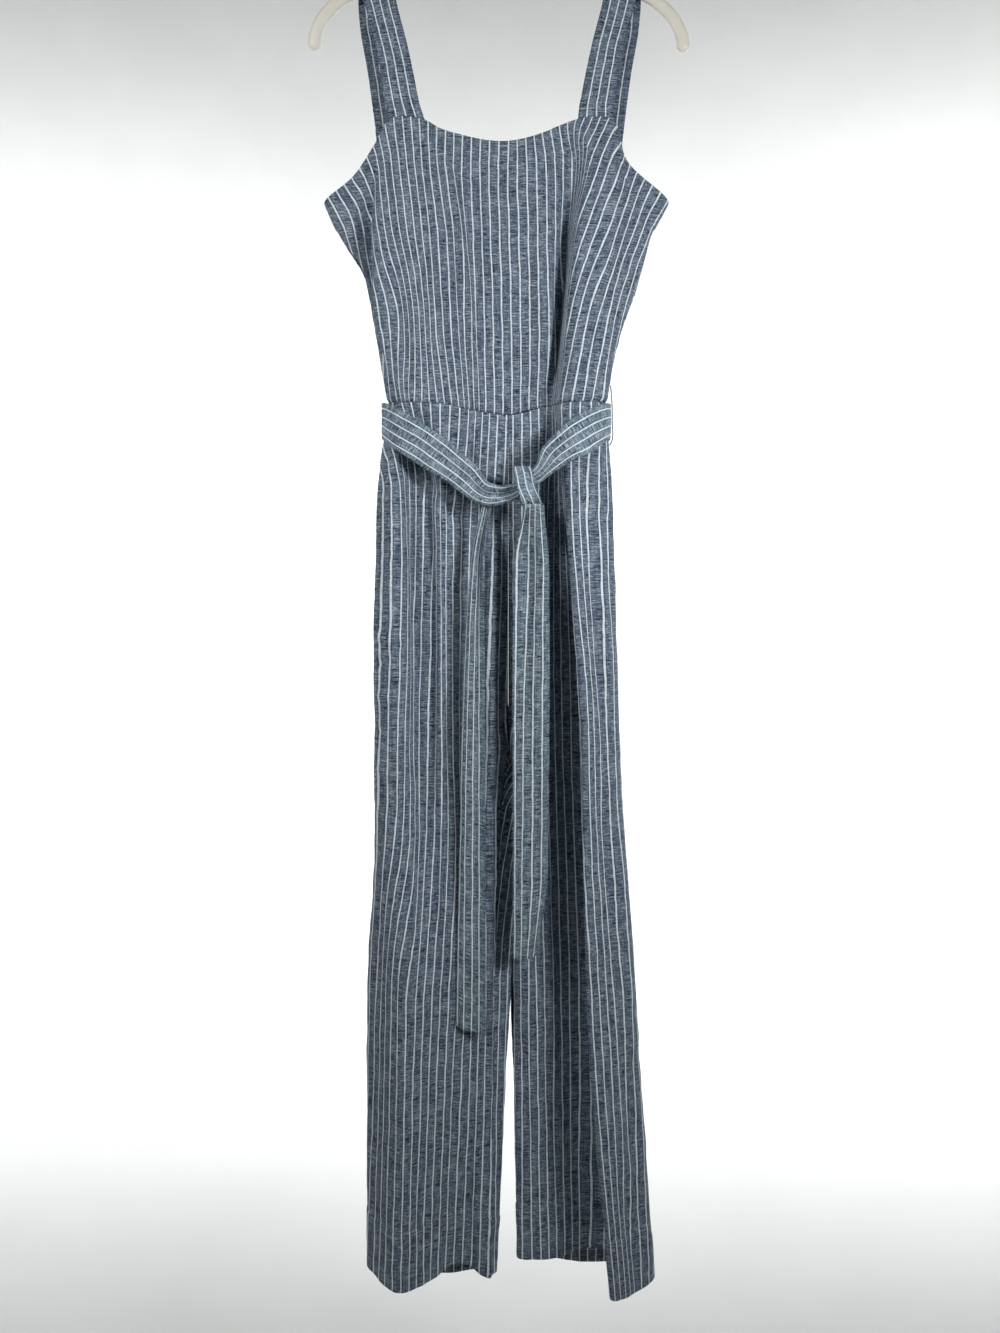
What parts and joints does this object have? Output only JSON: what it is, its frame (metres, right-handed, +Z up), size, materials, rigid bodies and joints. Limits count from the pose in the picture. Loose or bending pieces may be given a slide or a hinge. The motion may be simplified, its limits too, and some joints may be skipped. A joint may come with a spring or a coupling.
{
  "type": "jumpsuit on hanger",
  "caption": "Sleeveless square-neck jumpsuit with wide straps, straight legs and a knotted tie belt, hanging on a slim hanger.",
  "frame": {"origin": "underside of the top of the hanger's hook, where a rail carries it", "axes": "+Z up, the garment's front faces -Y, +X towards the viewer's right"},
  "size_m": [0.4194, 0.0955, 1.6279],
  "materials": {
    "cloth": "plain-weave blue-grey linen with fine white lengthwise stripes",
    "thread": "twisted sewing thread",
    "hanger_plastic": "smooth ivory plastic",
    "hook_wire": "plated steel wire"
  },
  "bodies": {
    "root": {"bodice_front": "cloth", "bodice_back": "cloth", "trouser_front_left": "cloth", "trouser_front_right": "cloth", "trouser_back_left": "cloth", "trouser_back_right": "cloth", "strap_left": "cloth", "strap_right": "cloth", "belt_left": "cloth", "belt_right": "cloth", "belt_back": "cloth", "belt_knot": "cloth", "belt_tail_long": "cloth", "belt_tail_short": "cloth", "belt_loop_right": "thread", "hanger_body": "hanger_plastic", "hanger_hook": "hook_wire"}
  },
  "joints": []
}
